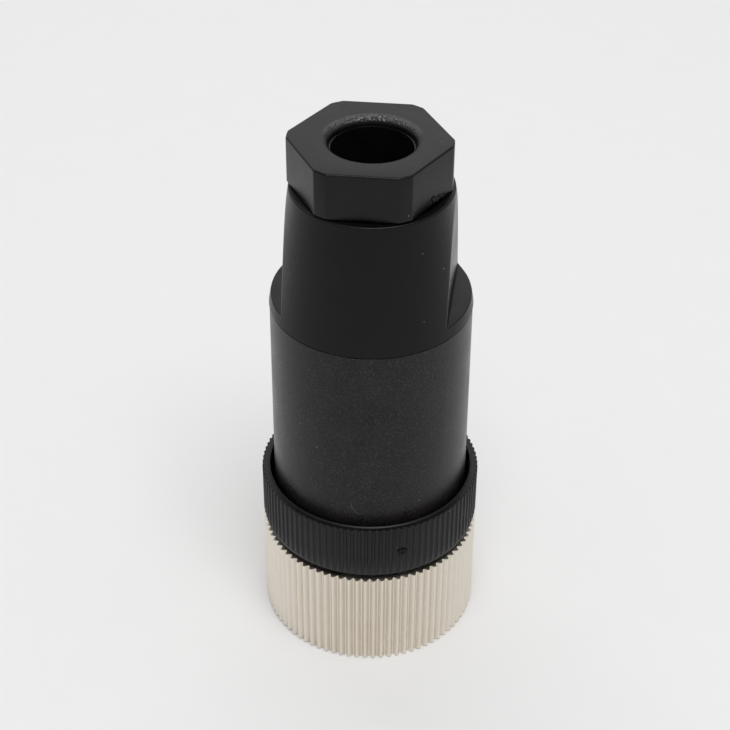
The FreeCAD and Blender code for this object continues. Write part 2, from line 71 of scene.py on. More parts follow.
# Coupling nut. NUT_COLLAR is the part that turns on the carrier's neck, above the thread
NUT_TIP = 10.045
NUT_TEETH = 82
NUT_GROOVE_DEPTH = 0.36
NUT_GROOVE_HALF = 0.3
NUT_CHAMFER = 0.17
NUT_BORE = 5.05
NUT_COLLAR = 1.2
NUT_COLLAR_LOW = NUT_TOP - NUT_COLLAR
NUT_FACE_LOW = 9.4
NUT_FACE_HIGH = 9.45
THREAD_ROOT = 6.0
NUT_MOUTH = 0.4
NUT_THREAD_LOW = 0.65
NUT_THREAD_HIGH = 7.6

# Contact carrier and its ribbed grip ring
RING_GAP = 0.7
RING_HEIGHT = 5.42
CUP_DEPTH = 3.7
RING_BOTTOM = NUT_TOP + RING_GAP
RING_TOP = RING_BOTTOM + RING_HEIGHT
CUP_FLOOR = RING_TOP - CUP_DEPTH
RING_LIP = 0.09
RING_WALL = 9.9
RIB_COUNT = 98
RIB_HEIGHT = 0.14
RIB_ROOT_HALF = 0.17
RIB_TIP_HALF = 0.07
CUP_RADIUS = 9.3
BOSS_RADIUS = 8.6
BOSS_LOW = NUT_TOP + 0.05
NECK_RADIUS = 4.95
CARRIER_BORE = 4.5
CARRIER_FLOOR = 1.6
SPIGOT_CREST = 7.4
SPIGOT_BORE = 6.2

# Where the grip ring's gate broke off
GATE_ANGLE = math.radians(-73.2)
GATE_HEIGHT = 13.3
GATE_RADIUS = 0.5
GATE_DEPTH = 0.26

# Threads. THREAD_SINK is how far a ridge is sunk in its wall
PITCH = 1.0
THREAD_DEPTH = 0.54
THREAD_SINK = 0.02
THREAD_ROOT_HALF = 0.42
THREAD_CREST_HALF = 0.1

# Housing
FLATS_ANGLE = math.radians(-7.5)
SLEEVE_RADIUS = 8.85
SLEEVE_FLARE = 0.05
PARTING = SLEEVE_LOW + 20.91
PARTING_STEP = 0.05
RIM_RADIUS = 6.98
RIM_ROUND = 0.17
LEDGE = PARTING + 1.01
FLAT_RADIUS = 7.05
HOUSING_BORE = 7.5
HOUSING_BORE_TOP = 19.02
SLEEVE_ROUND = 0.12
GLAND_ROOM = 12.6
SHELF_THICKNESS = 1.2
ROOM_TAPER = 2.4
ROOM_RADIUS = 7.1
ROOM_TOP = RIM - GLAND_ROOM - SHELF_THICKNESS - ROOM_TAPER
SHELF_HOLE = 3.7
GLAND_BORE = 6.1

# Bits of flash on the parting line: degrees round the sleeve, and half their length
PARTING_FLASH = ((-112, 0.22), (-108.5, 0.12), (-104, 0.16), (-89, 0.1), (-66, 0.12), (70, 0.2))

# Gland nut
HEX_ANGLE = math.radians(24.2)
HEX_LOW = RIM + 0.07
HEX_HALF = 6.275
HEX_CORNER = 6.93
HEX_CHAMFER = 0.08
HEX_ROUND = 0.18
HEX_SHIFT = (-0.17, 0.08)
GLAND_CREST = 6.0
CABLE_BORE = 3.47
MOUTH_FLARE = 0.88
MOUTH_DEPTH = 0.8
BORE_STEP = 0.08
CONE_TOP = CAGE_TOP + 1.0

# The gate's scar on one hexagon face: along the face, height, and size across, up and out
GLAND_SCARS = (
    (-0.35, HEX_LOW + 0.42, (0.26, 0.2, 0.07)),
    (0.15, HEX_LOW + 0.55, (0.3, 0.26, 0.13)),
    (0.55, HEX_LOW + 0.33, (0.3, 0.2, 0.12)),
    (1.05, HEX_LOW + 0.38, (0.3, 0.16, 0.09)),
    (1.6, HEX_LOW + 0.25, (0.34, 0.12, 0.08)),
)

# The scratch low on the sleeve, as an arc beside this point
SCRATCH_CENTRE = (-0.35, -8.8, 18.3)
SCRATCH_RADIUS = 1.35

# How finely arcs are divided
ARC_STEPS = 4


def linear(hex_colour):
    """An sRGB hex colour as the linear numbers that a shader takes."""
    out = []
    for i in (0, 2, 4):
        part = int(hex_colour[i:i + 2], 16) / 255
        out.append(part / 12.92 if part <= 0.04045 else ((part + 0.055) / 1.055) ** 2.4)
    return (*out, 1.0)


def add_node(tree, kind, settings=None, values=None, links=None):
    """Adds a node: settings are its properties, values its input sockets, links what feeds them."""
    node = tree.nodes.new(kind)
    for name, value in (settings or {}).items():
        setattr(node, name, value)
    for name, value in (values or {}).items():
        node.inputs[name].default_value = value
    for name, output in (links or {}).items():
        tree.links.new(output, node.inputs[name])
    return node


def new_material(name):
    """An empty material and its tree."""
    made = bpy.data.materials.new(name)
    made.use_nodes = True
    made.node_tree.nodes.clear()
    return made, made.node_tree


def finish_material(tree, values, links):
    """The surface shader with its constant values and its linked inputs, joined to the output."""
    shader = add_node(tree, "ShaderNodeBsdfPrincipled", values=values, links=links)
    add_node(tree, "ShaderNodeOutputMaterial", links={"Surface": shader.outputs["BSDF"]})


def grain_scale(size_mm):
    """A noise or cell texture's scale on Object coordinates, from the size of one grain."""
    return 1 / (size_mm * MM)


def round_outline(corners):
    """A closed outline of (radius, height, knurl) points from corners (radius, height, round, knurl).

    A corner with a round becomes an arc. The knurl is how much of the knurl's cut a point gets.
    """
    out = []
    for index, corner in enumerate(corners):
        here = Vector(corner[:2])
        size = corner[2] if len(corner) > 2 else 0.0
        knurl = corner[3] if len(corner) > 3 else 0.0
        if not size:
            out.append((here.x, here.y, knurl))
            continue
        back = (Vector(corners[index - 1][:2]) - here).normalized()
        ahead = (Vector(corners[(index + 1) % len(corners)][:2]) - here).normalized()
        half = back.angle(ahead) / 2
        centre = here + (back + ahead).normalized() * size / math.sin(half)
        start = here + back * size / math.tan(half) - centre
        stop = here + ahead * size / math.tan(half) - centre
        swing = start.angle_signed(stop)
        for step in range(ARC_STEPS + 1):
            spoke = start.copy()
            spoke.rotate(Matrix.Rotation(-swing * step / ARC_STEPS, 2))
            out.append((centre.x + spoke.x, centre.y + spoke.y, knurl))
    return out


def new_object(name, mesh):
    """An object in the scene from a mesh, a camera or a lamp's data."""
    made = bpy.data.objects.new(name, mesh)
    bpy.context.scene.collection.objects.link(made)
    return made


def clean_mesh(mesh, seam_mm=0.001):
    """Joins points that lie together and turns every face outwards."""
    work = bmesh.new()
    work.from_mesh(mesh)
    bmesh.ops.remove_doubles(work, verts=work.verts, dist=seam_mm * MM)
    bmesh.ops.dissolve_degenerate(work, edges=work.edges, dist=seam_mm * MM / 10)
    bmesh.ops.recalc_face_normals(work, faces=work.faces)
    if work.calc_volume(signed=True) < 0:
        bmesh.ops.reverse_faces(work, faces=work.faces)
    work.to_mesh(mesh)
    work.free()


def skin(name, rows, closed_round=True):
    """A surface through rows of points in millimetres. The last row joins the first."""
    mesh = bpy.data.meshes.new(name)
    across = len(rows[0])
    points = [Vector(p) * MM for row in rows for p in row]
    faces = []
    for r in range(len(rows)):
        upper = (r + 1) % len(rows)
        for c in range(across if closed_round else across - 1):
            ahead = (c + 1) % across
            faces.append(
                (r * across + c, r * across + ahead, upper * across + ahead, upper * across + c)
            )
    mesh.from_pydata(points, [], faces)
    return mesh


def smooth(mesh, sharp_degrees=35):
    """Smooth shading, with edges sharper than this left sharp."""
    mesh.shade_smooth()
    mesh.set_sharp_from_angle(angle=math.radians(sharp_degrees))


def on_circle(radius, angle, height):
    """The point at this radius and angle round Z."""
    return (radius * math.cos(angle), radius * math.sin(angle), height)


def give(piece, body, slot, material, *nodes):
    """Gives a finished piece its material and its body, and hides the nodes that it stands for. The
    slot is not used.
    """
    piece.data.materials.clear()
    piece.data.materials.append(material)
    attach(piece, body)
    if nodes:
        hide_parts(*nodes)
    return piece


def repeat_tree():
    """Repeats a mesh evenly round Z, joins the copies along their seams and gives them a material."""
    tree = bpy.data.node_groups.new("repeat_round", "GeometryNodeTree")
    face = tree.interface
    for name, kind in (
        ("Sector", "NodeSocketGeometry"),
        ("Copies", "NodeSocketInt"),
        ("Seam", "NodeSocketFloat"),
        ("Material", "NodeSocketMaterial"),
    ):
        face.new_socket(name, in_out="INPUT", socket_type=kind)
    face.new_socket("Ring", in_out="OUTPUT", socket_type="NodeSocketGeometry")
    given = add_node(tree, "NodeGroupInput").outputs
    points = add_node(tree, "GeometryNodePoints", links={"Count": given["Copies"]})
    index = add_node(tree, "GeometryNodeInputIndex")
    step = add_node(
        tree, "ShaderNodeMath", {"operation": "DIVIDE"}, {0: TURN}, {1: given["Copies"]}
    )
    angle = add_node(
        tree,
        "ShaderNodeMath",
        {"operation": "MULTIPLY"},
        links={0: index.outputs["Index"], 1: step.outputs[0]},
    )
    turn = add_node(tree, "ShaderNodeCombineXYZ", links={"Z": angle.outputs[0]})
    copies = add_node(
        tree,
        "GeometryNodeInstanceOnPoints",
        links={
            "Points": points.outputs["Points"],
            "Instance": given["Sector"],
            "Rotation": turn.outputs["Vector"],
        },
    )
    real = add_node(
        tree, "GeometryNodeRealizeInstances", links={"Geometry": copies.outputs["Instances"]}
    )
    joined = add_node(
        tree,
        "GeometryNodeMergeByDistance",
        links={"Geometry": real.outputs["Geometry"], "Distance": given["Seam"]},
    )
    painted = add_node(
        tree,
        "GeometryNodeSetMaterial",
        links={"Geometry": joined.outputs["Geometry"], "Material": given["Material"]},
    )
    add_node(tree, "NodeGroupOutput", links={"Ring": painted.outputs["Geometry"]})
    return tree


def thread_tree():
    """A helical ridge about Z, pointed outwards or inwards, faded out at both ends."""
    tree = bpy.data.node_groups.new("thread_ridge", "GeometryNodeTree")
    face = tree.interface
    face.new_socket("Start", in_out="INPUT", socket_type="NodeSocketGeometry")
    for name in (
        "Root Radius", "Crest Radius", "Root Half", "Crest Half", "Turns", "Pitch",
        "Low", "Start Angle", "Fade",
    ):
        face.new_socket(name, in_out="INPUT", socket_type="NodeSocketFloat")
    face.new_socket("Material", in_out="INPUT", socket_type="NodeSocketMaterial")
    face.new_socket("Ridge", in_out="OUTPUT", socket_type="NodeSocketGeometry")
    given = add_node(tree, "NodeGroupInput").outputs
    height = add_node(
        tree,
        "ShaderNodeMath",
        {"operation": "MULTIPLY"},
        links={0: given["Turns"], 1: given["Pitch"]},
    )
    helix = add_node(
        tree,
        "GeometryNodeCurveSpiral",
        values={"Resolution": 72},
        links={
            "Rotations": given["Turns"],
            "Start Radius": given["Root Radius"],
            "End Radius": given["Root Radius"],
            "Height": height.outputs[0],
        },
    )
    upright = add_node(
        tree,
        "GeometryNodeSetCurveNormal",
        {"mode": "Z_UP"},
        links={"Curve": helix.outputs["Curve"]},
    )
    # The section's X axis points at the helix's axis
    rise = add_node(
        tree,
        "ShaderNodeMath",
        {"operation": "SUBTRACT"},
        links={0: given["Root Radius"], 1: given["Crest Radius"]},
    )
    corners = {}
    for number, (reach, half, side) in enumerate(
        (
            (None, "Root Half", 1),
            (rise, "Crest Half", 1),
            (rise, "Crest Half", -1),
            (None, "Root Half", -1),
        ),
        start=1,
    ):
        up = add_node(
            tree,
            "ShaderNodeMath",
            {"operation": "MULTIPLY"},
            {1: side},
            {0: given[half]},
        )
        out = {"Y": up.outputs[0]}
        if reach:
            out["X"] = reach.outputs[0]
        corner = add_node(tree, "ShaderNodeCombineXYZ", links=out)
        corners[f"Point {number}"] = corner.outputs["Vector"]
    section = add_node(
        tree, "GeometryNodeCurvePrimitiveQuadrilateral", {"mode": "POINTS"}, links=corners
    )
    along = add_node(tree, "GeometryNodeSplineParameter")
    from_end = add_node(
        tree,
        "ShaderNodeMath",
        {"operation": "PINGPONG"},
        {1: 0.5},
        {0: along.outputs["Factor"]},
    )
    fade = add_node(
        tree,
        "ShaderNodeMapRange",
        values={"To Min": 0.05, "To Max": 1.0},
        links={"Value": from_end.outputs[0], "From Max": given["Fade"]},
    )
    ridge = add_node(
        tree,
        "GeometryNodeCurveToMesh",
        values={"Fill Caps": True},
        links={
            "Curve": upright.outputs["Curve"],
            "Profile Curve": section.outputs["Curve"],
            "Scale": fade.outputs["Result"],
        },
    )
    lift = add_node(tree, "ShaderNodeCombineXYZ", links={"Z": given["Low"]})
    swing = add_node(tree, "ShaderNodeCombineXYZ", links={"Z": given["Start Angle"]})
    placed = add_node(
        tree,
        "GeometryNodeTransform",
        links={
            "Geometry": ridge.outputs["Mesh"],
            "Translation": lift.outputs["Vector"],
            "Rotation": swing.outputs["Vector"],
        },
    )
    real = add_node(
        tree, "GeometryNodeRealizeInstances", links={"Geometry": placed.outputs["Geometry"]}
    )
    painted = add_node(
        tree,
        "GeometryNodeSetMaterial",
        links={"Geometry": real.outputs["Geometry"], "Material": given["Material"]},
    )
    add_node(tree, "NodeGroupOutput", links={"Ridge": painted.outputs["Geometry"]})
    return tree


def run_tree(name, mesh, tree, inputs):
    """Runs a tree on a mesh with these named inputs, and gives the result as a plain mesh."""
    worker = new_object(name + "_worker", mesh)
    modifier = worker.modifiers.new("nodes", "NODES")
    modifier.node_group = tree
    sockets = {item.name: item.identifier for item in tree.interface.items_tree}
    for label, value in inputs.items():
        modifier[sockets[label]] = value
    graph = bpy.context.evaluated_depsgraph_get()
    result = bpy.data.meshes.new_from_object(worker.evaluated_get(graph))
    worker.modifiers.remove(modifier)
    bpy.data.objects.remove(worker)
    return result


def join_meshes(name, meshes):
    """One object that holds several meshes."""
    work = bmesh.new()
    for mesh in meshes:
        work.from_mesh(mesh)
    joined = bpy.data.meshes.new(name)
    work.to_mesh(joined)
    work.free()
    return new_object(name, joined)


def thread_mesh(name, root, crest, low_end, high_end, material, start_angle=0.0):
    """A thread's ridge from one height to another, in millimetres."""
    turns = (high_end - low_end) / PITCH
    mesh = run_tree(
        name,
        bpy.data.meshes.new(name + "_start"),
        THREAD_TREE,
        {
            "Root Radius": root * MM,
            "Crest Radius": crest * MM,
            "Root Half": THREAD_ROOT_HALF * MM,
            "Crest Half": THREAD_CREST_HALF * MM,
            "Turns": turns,
            "Pitch": PITCH * MM,
            "Low": low_end * MM,
            "Start Angle": start_angle,
            "Fade": 0.6 / turns,
            "Material": material,
        },
    )
    clean_mesh(mesh, 0.0005)
    return mesh


def knurl_rows(outline, columns):
    """Rows for one sector: a column is (angle, how far the knurl cuts in from the tip there)."""
    return [
        [on_circle(r - knurl * cut, angle, z) for angle, cut in columns]
        for r, z, knurl in outline
    ]


def nut_columns():
    """One groove of the nut with half a land each side. The cut is down from the tooth's tip."""
    half = math.pi / NUT_TEETH
    groove = NUT_GROOVE_HALF / NUT_TIP
    edge = 0.04 / NUT_TIP
    bottom = 0.05 / NUT_TIP
    slope = NUT_GROOVE_DEPTH / (groove - bottom)
    marks = [
        (0.0, 0.0),
        (half - groove - edge, 0.0),
        (half - groove, 0.012),
        (half - groove + edge, slope * edge),
        (half - bottom * 2, slope * (groove - bottom * 2)),
        (half - bottom, NUT_GROOVE_DEPTH * 0.985),
    ]
    mirrored = [(2 * half - a, d) for a, d in reversed(marks)]
    return marks + [(half, NUT_GROOVE_DEPTH)] + mirrored


def rib_columns():
    """One rib of the grip ring with half a valley each side. The cut is down from the rib's tip."""
    half = math.pi / RIB_COUNT
    tip_radius = RING_WALL + RIB_HEIGHT
    root = RIB_ROOT_HALF / tip_radius
    tip = RIB_TIP_HALF / tip_radius
    marks = [
        (0.0, RIB_HEIGHT),
        (half - root - 0.004, RIB_HEIGHT),
        (half - root, RIB_HEIGHT * 0.93),
        (half - (root + tip) / 2, RIB_HEIGHT * 0.5),
        (half - tip, RIB_HEIGHT * 0.08),
    ]
    mirrored = [(2 * half - a, d) for a, d in reversed(marks)]
    rib = marks + [(half, 0.0)] + mirrored
    return [(a - half, d) for a, d in rib]


def rough_stub(centre, angle, sizes, seed):
    """A broken bit of gate or flash: a jagged lump half sunk in a wall that faces this angle.

    The sizes are across, up and out. A coarse and a fine noise make it jagged.
    """
    work = bmesh.new()
    bmesh.ops.create_icosphere(work, subdivisions=3, radius=1.0)
    out = Vector(on_circle(1.0, angle, 0.0)).normalized()
    axes = (Vector((-out.y, out.x, 0.0)), Vector((0.0, 0.0, 1.0)), out)
    shift = Vector((seed * 3.7, seed * 1.9, 0.0))
    for vert in work.verts:
        spot = vert.co.copy()
        jag = 1 + 0.6 * noise.noise(spot * 1.7 + shift) + 0.45 * noise.noise(spot * 4.3 + shift)
        place = Vector(centre)
        for axis, size, part in zip(axes, sizes, spot):
            place += axis * size * part * jag
        vert.co = place * MM
    mesh = bpy.data.meshes.new("stub")
    work.to_mesh(mesh)
    work.free()
    return mesh


def sector_ring(name, outline, columns, copies, material):
    """A closed ring with a knurled outside, repeated round from one sector."""
    sector = skin(name + "_sector", knurl_rows(outline, columns), closed_round=False)
    mesh = run_tree(
        name,
        sector,
        REPEAT_TREE,
        {"Copies": copies, "Seam": 0.002 * MM, "Material": material},
    )
    clean_mesh(mesh)
    return mesh


def make_coupling_nut(material):
    """The knurled nut with its collar and the internal thread.

    The chamfer below is as deep as the grooves, so they run out of it without a step.
    """
    outline = round_outline(
        [
            (THREAD_ROOT + NUT_MOUTH, 0.0, 0.05),
            (NUT_FACE_LOW, 0.0),
            (NUT_TIP - NUT_GROOVE_DEPTH, 0.0),
            (NUT_TIP, NUT_CHAMFER, 0.04, 1.0),
            (NUT_TIP, NUT_TOP, 0.04, 1.0),
            (NUT_FACE_HIGH, NUT_TOP),
            (NUT_BORE, NUT_TOP, 0.15),
            (NUT_BORE, NUT_COLLAR_LOW, 0.05),
            (THREAD_ROOT, NUT_COLLAR_LOW),
            (THREAD_ROOT, NUT_MOUTH),
        ]
    )
    body = sector_ring("nut", outline, nut_columns(), NUT_TEETH, material)
    thread = thread_mesh(
        "nut_thread",
        THREAD_ROOT + THREAD_SINK,
        THREAD_ROOT - THREAD_DEPTH,
        NUT_THREAD_LOW,
        NUT_THREAD_HIGH,
        material,
    )
    nut = join_meshes("coupling_nut_knurled", [body, thread])
    smooth(nut.data, 25)
    return give(nut, "nut_body", "nickel_plated_brass", material, "coupling_nut")


def make_contact_carrier(material):
    """The grip ring, boss, neck and threaded spigot in one moulding."""
    rib_tip = RING_WALL + RIB_HEIGHT
    fade_low = RING_BOTTOM + 0.22
    fade_high = RING_BOTTOM + 0.55
    outline = round_outline(
        [
            (CARRIER_BORE, CARRIER_LOW),
            (NECK_RADIUS, CARRIER_LOW, 0.05),
            (NECK_RADIUS, BOSS_LOW, 0.05),
            (BOSS_RADIUS, BOSS_LOW, 0.05),
            (BOSS_RADIUS, RING_BOTTOM),
            (RING_WALL - 0.02, RING_BOTTOM, 0.04),
            (RING_WALL, fade_low),
            (rib_tip, fade_high, 0.0, 1.0),
            *[(rib_tip, GATE_HEIGHT + rise / 10, 0.0, 1.0) for rise in range(-7, 8)],
            (rib_tip, RING_TOP - RING_LIP, 0.08, 1.0),
            (RING_WALL - 0.08, RING_TOP - RING_LIP),
            (CUP_RADIUS + 0.2, RING_TOP - RING_LIP),
            (CUP_RADIUS + 0.09, RING_TOP, 0.03),
            (CUP_RADIUS, RING_TOP, 0.04),
            (CUP_RADIUS, CUP_FLOOR, 0.15),
            (SPIGOT_CREST - THREAD_DEPTH, CUP_FLOOR, 0.1),
            (SPIGOT_CREST - THREAD_DEPTH, SPIGOT_TOP, 0.25),
            (SPIGOT_BORE, SPIGOT_TOP, 0.1),
            (SPIGOT_BORE, CUP_FLOOR + CARRIER_FLOOR, 0.1),
            (CARRIER_BORE, CUP_FLOOR + CARRIER_FLOOR, 0.1),
        ]
    )
    body = sector_ring("carrier", outline, rib_columns(), RIB_COUNT, material)
    gate = Vector(on_circle(rib_tip, GATE_ANGLE, GATE_HEIGHT)) * MM
    for vert in body.vertices:
        away = (vert.co - gate).length / MM
        reach = math.hypot(vert.co.x, vert.co.y) / MM
        if away < GATE_RADIUS and reach > CUP_RADIUS + 0.3:
            pushed = reach - GATE_DEPTH * min(1.0, 2 * (1 - away / GATE_RADIUS))
            vert.co.x *= pushed / reach
            vert.co.y *= pushed / reach
    centre = on_circle(rib_tip - GATE_DEPTH, GATE_ANGLE + 0.008, GATE_HEIGHT + 0.05)
    stub = rough_stub(centre, GATE_ANGLE, (0.13, 0.16, 0.17), 1)
    thread = thread_mesh(
        "spigot_thread",
        SPIGOT_CREST - THREAD_DEPTH - THREAD_SINK,
        SPIGOT_CREST,
        CUP_FLOOR + 1.4,
        SPIGOT_TOP - 0.45,
        material,
    )
    carrier = join_meshes("contact_carrier_ribbed", [body, thread, stub])
    smooth(carrier.data, 30)
    return give(carrier, "insert_body", "black_carrier_plastic", material, "contact_carrier")


def soft_min(a, b, reach):
    """The smaller of two lengths, rounded where they are within reach of each other."""
    gap = max(reach - abs(a - b), 0.0) / reach
    return min(a, b) - gap * gap * reach / 4


def cone_radius(z):
    """The housing's outer radius above the parting line, before the flats are cut."""
    share = (z - PARTING) / (RIM - PARTING)
    bottom = SLEEVE_RADIUS + PARTING_STEP
    return bottom + (RIM_RADIUS - bottom) * share


def housing_quadrant(z):
    """Angles from the middle of a flat to the middle of a side, always the same count."""
    edge = math.acos(min(1.0, FLAT_RADIUS / cone_radius(max(z, LEDGE))))
    edge = max(edge, math.radians(4))
    near = min(0.012, edge / 8)
    inner = [(edge - 2 * near) * k / 10 for k in range(11)]
    middle = [edge - near, edge, edge + near]
    start = edge + 2 * near
    outer = [start + (math.pi / 2 - start) * k / 20 for k in range(21)]
    return inner + middle + outer


def full_round(quadrant):
    """The angles of a whole turn from those of one quadrant that starts at 0 and ends at 90 degrees."""
    second = [math.pi - a for a in reversed(quadrant[:-1])]
    half = quadrant + second
    return half + [a + math.pi for a in half[1:-1]]


def flat_depth(angle):
    """How far the flats lie from the axis in this direction, measured along the direction."""
    return FLAT_RADIUS / max(abs(math.cos(angle)), 1e-6)


def housing_rows():
    """The housing's surface, from the bottom edge up the outside, over the rim and down the inside."""
    rows = []

    def add(z, radius):
        angles = full_round(housing_quadrant(z))
        row = []
        for a in angles:
            r = radius(a) if callable(radius) else radius
            row.append(on_circle(r, a + FLATS_ANGLE, z))
        rows.append(row)

    for step in range(ARC_STEPS + 1):
        lean = math.pi / 2 * step / ARC_STEPS
        rise = SLEEVE_ROUND * (1 - math.sin(lean))
        back = SLEEVE_ROUND * (1 - math.cos(lean))
        add(SLEEVE_LOW + rise, SLEEVE_RADIUS + SLEEVE_FLARE - back)
    rows.reverse()
    for z in (20.0, 27.0, 33.0, PARTING - 0.09):
        share = (PARTING - z) / (PARTING - SLEEVE_LOW)
        add(z, SLEEVE_RADIUS + SLEEVE_FLARE * share)
    add(PARTING - 0.05, SLEEVE_RADIUS - 0.07)
    add(PARTING, SLEEVE_RADIUS - 0.05)
    add(PARTING + 0.01, SLEEVE_RADIUS + PARTING_STEP - 0.03)
    for z in (PARTING + 0.04, PARTING + 0.3, LEDGE - 0.3):
        add(z, cone_radius(z))
    round_size = 0.1
    corner = 0.15
    cone = cone_radius(LEDGE)
    ledge_angles = full_round(housing_quadrant(LEDGE))

    def ledge_share(a):
        # How much of the full rounding fits here: none where the ledge has run out
        crescent = max(cone - flat_depth(a), 0.0)
        return min(1.0, crescent / (round_size + corner) / 1.2)

    def ledge_row(turn):
        drop = round_size * (1 - math.sin(turn))
        back = round_size * (1 - math.cos(turn))
        row = []
        for a in ledge_angles:
            share = ledge_share(a)
            row.append(on_circle(cone - back * share, a + FLATS_ANGLE, LEDGE - drop * share))
        rows.append(row)

    def corner_row(turn):
        row = []
        for a in ledge_angles:
            share = ledge_share(a)
            out = corner * (1 - math.sin(turn)) * share
            rise = corner * (1 - math.cos(turn)) * share
            r = min(cone, flat_depth(a)) + out if share else cone
            row.append(on_circle(r, a + FLATS_ANGLE, LEDGE + rise))
        rows.append(row)

    for step in range(ARC_STEPS + 1):
        ledge_row(math.pi / 2 * step / ARC_STEPS)
    for step in range(ARC_STEPS + 1):
        corner_row(math.pi / 2 * step / ARC_STEPS)
    # The bore has as many rows as the outside, because each row's angles shift with its height
    count = 26
    top = RIM - RIM_ROUND
    for step in range(1, count + 1):
        z = LEDGE + corner + (top - LEDGE - corner) * step / count
        add(z, lambda a, z=z: soft_min(cone_radius(z), flat_depth(a), 0.08))
    for step in range(1, ARC_STEPS + 1):
        lean = math.pi / 2 * step / ARC_STEPS
        back = RIM_ROUND * (1 - math.cos(lean))
        add(top + RIM_ROUND * math.sin(lean), cone_radius(top) - back)
    add(RIM, GLAND_BORE + 0.15)
    for step in range(count + 1):
        add(RIM - 0.15 + (LEDGE - RIM + 0.15) * step / count, GLAND_BORE)
    for r, z in (
        (GLAND_BORE, SHELF_TOP),
        (SHELF_HOLE, SHELF_TOP),
        (SHELF_HOLE, SHELF_TOP - SHELF_THICKNESS),
        (ROOM_RADIUS, ROOM_TOP),
        (ROOM_RADIUS, HOUSING_BORE_TOP),
        (HOUSING_BORE, HOUSING_BORE_TOP),
        (HOUSING_BORE, SLEEVE_LOW + 0.2),
        (HOUSING_BORE + 0.2, SLEEVE_LOW),
    ):
        add(z, r)
    return rows


def make_housing(material):
    """The moulded sleeve with its parting line, taper and wrench flats."""
    mesh = skin("housing", housing_rows())
    clean_mesh(mesh, 0.002)
    flash = []
    for seed, (degrees, length) in enumerate(PARTING_FLASH, start=10):
        angle = math.radians(degrees)
        place = on_circle(SLEEVE_RADIUS, angle, PARTING - 0.02)
        flash.append(rough_stub(place, angle, (length, 0.05, 0.05), seed))
    shell = join_meshes("housing_shell", [mesh, *flash])
    smooth(shell.data, 30)
    return give(shell, "housing_body", "black_housing_plastic", material, "housing")


def hex_radius(angle, inset=0.0):
    """The hexagon's outline: flats, with the corners cut back to a circle."""
    off_flat = (angle + math.pi / 6) % (math.pi / 3) - math.pi / 6
    side = (HEX_HALF - inset) / math.cos(off_flat)
    return soft_min(side, HEX_CORNER - inset, 0.04)


def hex_angles():
    """Angles round the hexagon, closer together at its corners."""
    edge = math.acos(HEX_HALF / HEX_CORNER)
    half = [edge * k / 6 for k in range(6)]
    half += [edge - 0.02, edge - 0.01, edge, edge + 0.01, edge + 0.02, math.pi / 6 - 0.03]
    half.append(math.pi / 6)
    sector = [-a for a in reversed(half[1:])] + half[:-1]
    return [a + k * math.pi / 3 for k in range(6) for a in sector]


def make_gland_nut(material):
    """The hexagon pressing screw with its flared mouth, cone and thread."""
    rows = []

    def add(z, radius):
        on_hexagon = callable(radius)
        shift = HEX_SHIFT if on_hexagon else (0.0, 0.0)
        row = []
        for a in hex_angles():
            x, y = on_circle(radius(a) if on_hexagon else radius, a + HEX_ANGLE, z)[:2]
            row.append((x + shift[0], y + shift[1], z))
        rows.append(row)

    root = GLAND_CREST - THREAD_DEPTH
    add(GLAND_END, root - 0.25)
    add(GLAND_END + 0.25, root)
    add(HEX_LOW, root)
    add(HEX_LOW, lambda a: hex_radius(a, HEX_CHAMFER))
    add(HEX_LOW + HEX_CHAMFER, hex_radius)
    for step in range(ARC_STEPS + 1):
        lean = math.pi / 2 * step / ARC_STEPS
        inset = HEX_ROUND * (1 - math.cos(lean))
        z = GLAND_TOP - HEX_ROUND * (1 - math.sin(lean))
        add(z, lambda a, inset=inset: hex_radius(a, inset))
    add(GLAND_TOP, CABLE_BORE + MOUTH_FLARE + 0.3)
    # The mouth is a rounded funnel down to a small sharp step at the bore
    steps = 8
    for step in range(steps + 1):
        lean = math.pi / 2 * step / steps
        add(
            GLAND_TOP - MOUTH_DEPTH * (1 - math.cos(lean)) ** 1.15,
            CABLE_BORE + BORE_STEP + (MOUTH_FLARE - BORE_STEP) * (1 - math.sin(lean)),
        )
    add(GLAND_TOP - MOUTH_DEPTH - 0.02, CABLE_BORE)
    add(CONE_TOP, CABLE_BORE)
    add(CONE_TOP, CABLE_BORE + 1.4)
    add(GLAND_END, root - 0.4)
    mesh = skin("gland", rows)
    clean_mesh(mesh)
    thread = thread_mesh(
        "gland_thread", root - THREAD_SINK, GLAND_CREST, GLAND_END + 0.3, HEX_LOW - 0.9, material
    )
    scars = []
    face_angle = HEX_ANGLE - math.pi / 3
    out = on_circle(1.0, face_angle, 0.0)
    for seed, (along, height, sizes) in enumerate(GLAND_SCARS, start=20):
        place = (
            out[0] * HEX_HALF - out[1] * along + HEX_SHIFT[0],
            out[1] * HEX_HALF + out[0] * along + HEX_SHIFT[1],
            height,
        )
        scars.append(rough_stub(place, face_angle, sizes, seed))
    # One corner has a chip low down
    corner = HEX_ANGLE + 5 * math.pi / 6
    place = on_circle(HEX_CORNER - 0.2, corner, HEX_LOW + 0.22)
    scars.append(rough_stub(place, corner, (0.2, 0.14, 0.2), 30))
    gland = join_meshes("gland_nut_hex", [mesh, thread, *scars])
    smooth(gland.data, 25)
    return give(gland, "gland_body", "black_gland_plastic", material, "gland_nut")


def carry_over(node, name, body, slot, material, sharp_degrees=30):
    """A merged, smooth copy of a CAD node, which it stands for."""
    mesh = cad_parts[node].data.copy()
    clean_mesh(mesh)
    smooth(mesh, sharp_degrees)
    piece = new_object(name, mesh)
    return give(piece, body, slot, material, node)


